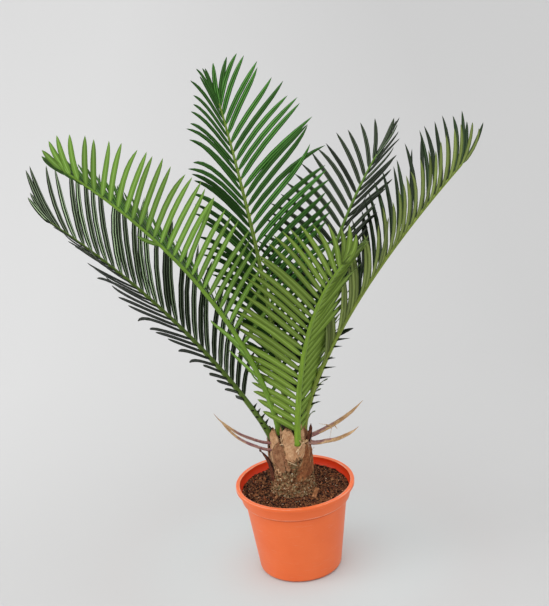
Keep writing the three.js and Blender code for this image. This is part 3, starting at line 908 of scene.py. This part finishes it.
# Dry strands
def strand_piece(name, strand, skins):
    """A dry leaf or torn scale: a shrunken, ridged strand that thins to a point."""
    rib = rib_of(strand)
    start = -strand["sunk"] / strand["length"]

    def place(u, v):
        share = lerp(start, 1, v)
        spot, along, above, left = rib(share)
        point = 1 if v < 0.8 else lerp(1, 0.15, (v - 0.8) / 0.2)
        radius = lerp(*strand["radius"], clamp(share) ** 1.5) * point
        across = Matrix.Rotation(math.radians(strand["turn"]), 3, along) @ left
        through = across.cross(along)
        angle = 2 * math.pi * u
        pinch = 1 + 0.2 * math.cos(3 * angle + 4 * share)
        pinch += 0.15 * ripple(math.cos(angle), math.sin(angle), share * 14)
        wander = above * 0.8 * ripple(share * 4, strand["heading"], 1) * ease(4 * share)
        off = across * math.cos(angle) + through * strand["flat"] * math.sin(angle)
        return spot + wander + off * radius * pinch

    shape = sheet(12, 60, place, lambda u, v: (u * 10, v * strand["length"]))
    layer = shape.loops.layers.uv["run"]
    for face in shape.faces:
        share = sum(loop[layer].uv.y for loop in face.loops) / len(face.loops) / strand["length"]
        side = sum(loop[layer].uv.x for loop in face.loops) / len(face.loops) / 10
        if strand["slot"] == "dry_leaf":
            face.material_index = 1 if share > 0.4 + 0.25 * math.cos(2 * math.pi * side) else 0
        else:
            # Torn scales: reddish outside, the rest near black as painted shade inside their curl
            face.material_index = 1 if 0.2 < side < 0.7 else 0
    close_tube(shape)
    for share, reach, thick in strand.get("hairs", []):
        add_cone(shape, rib(share)[0], rib(share)[0] + Vector(reach), thick, thick * 0.3, 1)
    smooth(shape)
    return piece(name + "_dried", shape, skins, strand["slot"], name)


PURPLE = dry_skin("dry_stalk_purple", "#7c4f50", "#aa7c79", "#c09c8a", fibre=1.25)
TAN = dry_skin("dry_stalk_tan", "#a27a54", "#c8a076", "#dab98e", fibre=1.25)
# Near black: painted shade inside the curled scales
PAINTED_SCALE_SHADE = dry_skin("dark_scale_inside_painted_shade", "#140b09", "#2c1814", "#45281e", fibre=1.25)
REDDISH = dry_skin("dark_scale_outside", "#321a12", "#5c3224", "#7c4a36", fibre=1.25)
for name, strand in STRANDS.items():
    strand_piece(name, strand, [PURPLE, TAN] if strand["slot"] == "dry_leaf" else [PAINTED_SCALE_SHADE, REDDISH])


# Pot
def arc(centre, radius, start, end, steps):
    angles = [math.radians(lerp(start, end, i / steps)) for i in range(steps + 1)]
    return [(centre[0] + radius * math.cos(a), centre[1] + radius * math.sin(a)) for a in angles]


def pot_piece(skins):
    collar_foot = POT_HEIGHT - COLLAR_HEIGHT
    under_lip = POT_HEIGHT - LIP_HEIGHT
    collar_top = LIP_RADIUS - LIP_OVERHANG
    inside = collar_top - WALL
    ledge = collar_foot + WALL
    foot = (WALL_FOOT_RADIUS - FOOT_EDGE, FOOT_EDGE)
    profile = [
        (0, 0),
        *arc(foot, FOOT_EDGE, -90, -6, 8),
        (WALL_TOP_RADIUS - 0.25, collar_foot - 3),
        (WALL_TOP_RADIUS - 0.1, collar_foot - 1.2),
        *arc((WALL_TOP_RADIUS + 0.5, collar_foot - 0.6), 0.5, 180, 90, 3),
        *arc((COLLAR_FOOT_RADIUS - 0.4, collar_foot + 0.3), 0.4, -90, 0, 4),
        (lerp(COLLAR_FOOT_RADIUS, collar_top, 0.1), collar_foot + 1.2),
        (collar_top, under_lip - 0.9),
        *arc((collar_top + 0.6, under_lip - 0.6), 0.6, 180, 90, 3),
        *arc((LIP_RADIUS - 0.6, under_lip + 0.6), 0.6, -90, 0, 4),
        (LIP_RADIUS, POT_HEIGHT - 1.3),
        *arc((LIP_RADIUS - 0.6, POT_HEIGHT - 0.6), 0.6, 0, 90, 6),
        (LIP_RADIUS - 1.2, POT_HEIGHT),
        (inside + 1.0, POT_HEIGHT),
        *arc((inside + 0.5, POT_HEIGHT - 0.5), 0.5, 90, 180, 5),
        (inside, POT_HEIGHT - 1.1),
        (COLLAR_FOOT_RADIUS - WALL, ledge + 0.4),
        (WALL_TOP_RADIUS - WALL, ledge),
        *arc(foot, FOOT_EDGE - WALL, 0, -90, 6),
        (0, WALL),
    ]
    shape = turned(profile, 160)
    smooth(shape)
    # Looks: 0 outside, 1 inside with painted bounced light, 2 rubbed edges that also paint a highlight,
    # 3 painted shade under the collar
    for face in shape.faces:
        middle = face.calc_center_median()
        outward = face.normal.dot(Vector((middle.x, middle.y, 0)).normalized())
        off_middle = abs(Vector((middle.x, middle.y)).length - (LIP_RADIUS + inside) / 2)
        at_edge = off_middle > (LIP_RADIUS - inside) / 2 - 0.9
        # The lip's top edge and the collar's foot: pale rubs that also paint the highlight line along them
        if at_edge and middle.z > POT_HEIGHT - 0.6:
            face.material_index = 2
        elif outward > 0.3 and collar_foot - 0.1 < middle.z < collar_foot + 1.0:
            face.material_index = 2
        # A band just under the collar: a darker copy of the plastic, painted shade under its overhang
        elif outward > 0.5 and collar_foot - 3.1 < middle.z < collar_foot - 1.1:
            face.material_index = 3
        # The inside: a redder copy of the same plastic, painted light bounced within the pot
        elif outward < 0 and middle.z > ledge:
            face.material_index = 1
    pot = piece("nursery_pot", shape, skins, "pot", "pot")
    drill = bmesh.new()
    for i in range(DRAIN_HOLES):
        angle = 2 * math.pi * i / DRAIN_HOLES
        spot = Matrix.Translation((DRAIN_CIRCLE * math.cos(angle), DRAIN_CIRCLE * math.sin(angle), 0))
        bmesh.ops.create_cone(drill, cap_ends=True, segments=32, radius1=DRAIN_RADIUS, radius2=DRAIN_RADIUS,
                              depth=4 * WALL, matrix=spot)
    bmesh.ops.scale(drill, vec=(MM, MM, MM), verts=drill.verts)
    cutter = placed("drain_cutter", mesh_of("drain_cutter", drill))
    cut = pot.modifiers.new("drains", "BOOLEAN")
    cut.object = cutter
    cut.solver = "EXACT"
    bpy.context.view_layer.update()
    done = bpy.data.meshes.new_from_object(pot.evaluated_get(bpy.context.evaluated_depsgraph_get()))
    pot.modifiers.clear()
    pot.data = done
    bpy.data.objects.remove(cutter)
    return pot


pot_piece([
    moulded_plastic("moulded_polypropylene", "#f06c30", "#f67438"),
    # A redder copy of the plastic: painted bounced light inside the pot
    moulded_plastic("polypropylene_inside_painted_bounce", "#f03c0c", "#fa4410", rub_and_highlight_most=0.05),
    # Strong pale rubs: partly wear, partly a painted highlight line on the edges
    moulded_plastic("polypropylene_rubs_and_painted_highlight_edge", "#ee6c34", "#f47c48", rub_and_highlight_most=0.9, rub_and_highlight_from=0.42),
    # A darker copy of the plastic: painted shade under the collar
    moulded_plastic("polypropylene_painted_shade_under_collar", "#d85a24", "#e0622a", rub_and_highlight_most=0.1),
])


# Soil
def soil_height(x, y):
    radius = math.hypot(x, y)
    level = lerp(HEAP_HEIGHT - 1.2, SOIL_RIM - 0.4, ease((radius - 24) / 18))
    return level + 1.0 * ripple(x * 0.1, y * 0.1, 3) + 0.9 * ripple(x * 0.35, y * 0.35, 7)


def soil_piece(skin):
    def place(u, v):
        radius = lerp(20, SOIL_RADIUS, v)
        angle = 2 * math.pi * u
        x, y = radius * math.cos(angle), radius * math.sin(angle)
        return Vector((x, y, soil_height(x, y) + 0.3 * ripple(x, y, 1)))

    shape = sheet(240, 60, place, lambda u, v: (u * 300, v * 34))
    bmesh.ops.remove_doubles(shape, verts=shape.verts, dist=0.0005)
    rim = [edge for edge in shape.edges if edge.is_boundary]
    down = bmesh.ops.extrude_edge_only(shape, edges=rim)
    for vert in [part for part in down["geom"] if isinstance(part, bmesh.types.BMVert)]:
        vert.co.z = SOIL_SKIRT
    rim = [edge for edge in shape.edges if edge.is_boundary]
    bmesh.ops.bridge_loops(shape, edges=rim)
    bmesh.ops.recalc_face_normals(shape, faces=shape.faces)
    smooth(shape)
    return piece("compost", shape, [skin], "soil", "potting_soil")


def strewn(count, sizes, weights, seat, seed):
    """A bmesh of many small angular lumps, each one of a few shades dealt out by weight. seat(rng, count)
    gives their places."""
    lump = bmesh.new()
    bmesh.ops.create_icosphere(lump, subdivisions=1, radius=0.5)
    lump.verts.index_update()
    corners = np.array([vert.co[:] for vert in lump.verts])
    faces = np.array([[vert.index for vert in face.verts] for face in lump.faces])
    lump.free()
    rng = np.random.default_rng(seed)
    places = seat(rng, count)
    size = rng.uniform(*sizes, count)[:, None, None] * rng.uniform(0.6, 1.25, (count, 1, 3))
    points = corners[None] * size + rng.normal(0, 0.07, (count, len(corners), 3)) * size
    turns = rng.uniform(0, 6.28, count)
    axes = [Vector(v).normalized() for v in rng.normal(0, 1, (count, 3))]
    spin = np.array([Matrix.Rotation(turn, 3, axis)[:] for turn, axis in zip(turns, axes)])
    points = np.einsum("nij,nkj->nki", spin, points) + places[:, None]
    mesh = bpy.data.meshes.new("lumps")
    every = (faces[None] + np.arange(count)[:, None, None] * len(corners)).reshape(-1, 3)
    mesh.from_pydata(points.reshape(-1, 3).tolist(), [], every.tolist())
    shape = bmesh.new()
    shape.from_mesh(mesh)
    bpy.data.meshes.remove(mesh)
    shade = np.repeat(rng.choice(len(weights), count, p=weights), len(faces))
    for face, index in zip(shape.faces, shade.tolist()):
        face.material_index = index
    return shape


def on_soil(rng, count):
    angle = rng.uniform(0, 2 * math.pi, count)
    radius = np.sqrt(rng.uniform(22.5 ** 2, (SOIL_RADIUS - 0.8) ** 2, count))
    spots = np.stack([radius * np.cos(angle), radius * np.sin(angle)], 1)
    return np.array([(x, y, soil_height(x, y) + 0.2) for x, y in spots.tolist()])


def on_stem_foot(rng, count):
    """Places on the stem's crusted foot, most of them low."""
    angles = rng.uniform(0, 2 * math.pi, count)
    heights = 40 * rng.uniform(0, 1, count) ** 1.5
    spots = zip(angles.tolist(), heights.tolist())
    return np.array([trunk_point(angle, column_radius(height) + 0.15, height) for angle, height in spots])


def crumb_piece(name, count, sizes, skins, seed):
    shares = [1 / len(skins)] * len(skins)
    return piece(name, strewn(count, sizes, shares, on_soil, seed), skins, "soil", "potting_soil")


soil_piece(earth("damp_peat", "#1c110b", "#4a2e1e"))
crumb_piece("crumbs_dark", 6500, (1.0, 2.7), [
    earth("peat_crumb", "#3c2418", "#6e4430"),
    earth("brown_crumb", "#5e3824", "#94643f"),
    earth("black_crumb", "#120b08", "#2c1c14"),
], 3)
crumb_piece("crumbs_red", 1900, (0.8, 1.8), [
    earth("russet_crumb", "#8c4626", "#c47044"),
    earth("clay_crumb", "#78402a", "#a66242"),
], 4)
crumb_piece("crumbs_light", 800, (0.6, 1.5), [
    earth("tan_crumb", "#b08a60", "#dcb088"),
    earth("sand_grain", "#a8967c", "#d6c8ac", rough=0.7),
], 5)

crust = strewn(3400, (0.6, 2.1), (0.32, 0.2, 0.16, 0.14, 0.14, 0.04), on_stem_foot, 6)
piece("stem_foot_crust", crust, [
    earth("crust_brown", "#7c5236", "#ac805a"),
    earth("crust_umber", "#60412c", "#8a6648"),
    earth("crust_algae", "#726848", "#988c66"),
    earth("crust_dark", "#241810", "#42301f"),
    earth("crust_tan", "#a88460", "#d0ae84"),
    earth("crust_lime", "#b0a488", "#d2c8ac"),
], "trunk", "trunk")


# Loose fibres: angle and height of both ends on the stem, how far each end stands out, and radius
FIBRES = [(286, 52, 295, 56.5, 5.4, 6.4, 0.9), (293, 55, 303, 60, 6.0, 6.6, 1.1),
          (290, 49, 293, 54, 5.0, 6.0, 0.7), (301, 60, 311, 60.5, 6.4, 6.6, 1.0),
          (318, 61, 309, 59.5, 6.8, 6.2, 1.5), (297, 64, 302, 59, 6, 6.2, 0.6),
          (262, 42, 287, 36.5, 2.6, 4.6, 0.5), (310, 60, 317, 60.5, 4.2, 4.6, 1.3),
          (251, 64, 258, 69, 3.2, 3.0, 0.7), (254, 60, 248, 67, 3.4, 2.8, 0.5),
          (246, 60, 256, 61, 3.4, 3.8, 0.6), (326, 60, 330, 30, 5.0, 2.6, 0.14),
          (322, 56, 336, 48, 4.2, 5.6, 0.14), (186, 60, 177, 44, 3.4, 2.4, 0.16)]


def fibre_piece(skin, dice):
    """Frayed fibres: the listed ones in front, and some by rule on the far side."""
    far = []
    for _ in range(34):
        angle = dice.uniform(-20, 170)
        height = dice.uniform(36, 66)
        far.append((angle, height, angle + dice.uniform(-14, 14), height + dice.uniform(-6, 9), 3.4,
                    dice.uniform(3.6, 5.4), dice.uniform(0.15, 0.5)))
    shape = bmesh.new()
    for first, low, last, high, near, out, thick in FIBRES + far:
        ends = [trunk_point(math.radians(angle), column_radius(min(height, UPRIGHT_FROM)) + stand, height)
                for angle, height, stand in ((first, low, near), (last, high, out))]
        add_cone(shape, *ends, thick, thick * 0.35, 0)
    smooth(shape)
    return piece("frayed_fibres", shape, [skin], "trunk", "trunk")


fibre_piece(dry_skin("frayed_fibre", "#a88058", "#dcb88c", "#f0d8b4"), random.Random(12))

# Bark chips on the compost: place, length, breadth, heading and tilt
CHIPS = [((-19.5, -20, 88.2), 3.4, 2.4, 20, 30), ((19.5, -21.5, 90), 12, 4.2, 62, 42),
         ((38, 12, 86.5), 4, 2.6, 100, 15), ((-34, 20, 86.6), 6, 2.8, 150, 20),
         ((10, 38, 86.4), 5, 3, 40, 12), ((-40, -10, 86.4), 3, 2, 70, 25),
         ((30, -32, 86.2), 3.2, 1.8, 10, 30)]


def chip_piece(skin):
    shape = bmesh.new()
    for place, length, breadth, heading, tilt in CHIPS:
        pose = Matrix.Translation(place)
        pose = pose @ Matrix.Rotation(math.radians(heading), 4, "Z")
        pose = pose @ Matrix.Rotation(math.radians(-tilt), 4, "Y")
        pose = pose @ Matrix.Diagonal((length, breadth, 1, 1))
        made = bmesh.ops.create_cube(shape, size=1, matrix=pose)
        edges = list(dict.fromkeys(edge for vert in made["verts"] for edge in vert.link_edges))
        bmesh.ops.subdivide_edges(shape, edges=edges, cuts=3, use_grid_fill=True)
    for vert in shape.verts:
        spot = vert.co * 0.5
        vert.co += 0.5 * Vector([ripple(*spot, seed) for seed in (1, 2, 3)])
    return piece("bark_chips", shape, [skin], "soil", "potting_soil")


chip_piece(dry_skin("bark_chip", "#6a4028", "#94603c", "#c08c60"))

# Camera, fitted to the photo's pot and outline
FOCAL_PIXELS = 1652.29
IMAGE_WIDTH = 549
SENSOR = 36
CAMERA_PLACE = (-6.02, -1488.26, 876.34)
CAMERA_RIGHT = (0.99672, -0.02970, -0.07525)
CAMERA_UP = (0.08089, 0.36595, 0.92711)
camera_data = bpy.data.cameras.new("camera")
camera = placed("camera", camera_data)
camera_data.sensor_width = SENSOR
camera_data.sensor_fit = "HORIZONTAL"
camera_data.lens = FOCAL_PIXELS / IMAGE_WIDTH * SENSOR
camera_data.clip_end = 50
right = Vector(CAMERA_RIGHT)
upward = Vector(CAMERA_UP)
toward = right.cross(upward).normalized()
turn = Matrix((right, upward, toward)).transposed()
camera.rotation_mode = "QUATERNION"
camera.rotation_quaternion = turn.to_quaternion()
camera.location = Vector(CAMERA_PLACE) * MM
bpy.context.scene.camera = camera


# Studio: a pale seamless floor under large soft lights
def studio_paper():
    """Matte paper with painted light: brighter at the left behind, with painted shade to the right behind,
    and paler and cooler round the pot, painted over its orange bounce light and contact shade.
    """
    material, tree = blank("studio_paper")
    place = add(tree, "ShaderNodeTexCoord").outputs["Object"]
    split = add(tree, "ShaderNodeSeparateXYZ", {0: place})
    # Painted light and shade: lighter to the left behind, darker to the right behind
    far = ranged(tree, split.outputs["Y"], -0.2, 0.5, 0.5)
    aside = add(tree, "ShaderNodeMapRange", {"Value": split.outputs["X"], "From Min": -0.35,
                                             "From Max": 0.35, "To Min": -1})
    tilt = add(tree, "ShaderNodeMath", {0: far, 1: aside.outputs[0], 2: 0.5}, operation="MULTIPLY_ADD")
    wide = blend(tree, tilt.outputs[0], "#cccccc", "#bebebe")
    # Painted light: paler and cooler round the pot, over its orange bounce and contact shade
    reach = add(tree, "ShaderNodeVectorMath", {0: place}, operation="LENGTH")
    painted_light_round_pot = add(tree, "ShaderNodeMapRange", {"Value": reach.outputs["Value"], "From Min": 0.2,
                                            "From Max": 0.05}, interpolation_type="SMOOTHSTEP")
    return surfaced(material, {
        "Base Color": blend(tree, painted_light_round_pot.outputs[0], wide, "#cad3d4"), "Roughness": 1.0,
        "Specular IOR Level": 0.0})


floor_shape = bmesh.new()
bmesh.ops.create_grid(floor_shape, x_segments=1, y_segments=1, size=12)
floor_mesh = mesh_of("studio_floor", floor_shape)
floor_mesh.materials.append(studio_paper())
floor = placed("studio_floor", floor_mesh)


def lamp(name, kind, place, aim, **settings):
    """A light at a place, turned to its aim."""
    data = bpy.data.lights.new(name, kind)
    for key, value in settings.items():
        setattr(data, key, value)
    light = placed(name, data)
    light.location = place
    light.rotation_euler = (Vector(aim) - Vector(place)).to_track_quat("-Z", "Y").to_euler()


# Very large diffused sources give soft shadows, and a nearer one brightens the left
lamp("key_light", "SUN", (-2.2, -2.6, 3.2), (0, 0, 0), energy=1.1, angle=math.radians(70))
lamp("top_light", "SUN", (0.4, 0.8, 3), (0, 0, 0), energy=1.1, angle=math.radians(100))
lamp("fill_light", "SUN", (2.5, -2.2, 1.8), (0, 0, 0), energy=0.4, angle=math.radians(90))
lamp("side_light", "AREA", (-2.4, -0.2, 1.7), (-0.3, 0.2, 0.1), energy=12, shape="DISK", size=2)

world = bpy.data.worlds.new("studio_air")
bpy.context.scene.world = world
world.use_nodes = True
world.node_tree.nodes.clear()
sky = add(world.node_tree, "ShaderNodeBackground", {"Color": linear("#f7f7f7"), "Strength": 0.58})
add(world.node_tree, "ShaderNodeOutputWorld", {"Surface": sky.outputs[0]})
bpy.context.scene.view_settings.view_transform = "Standard"
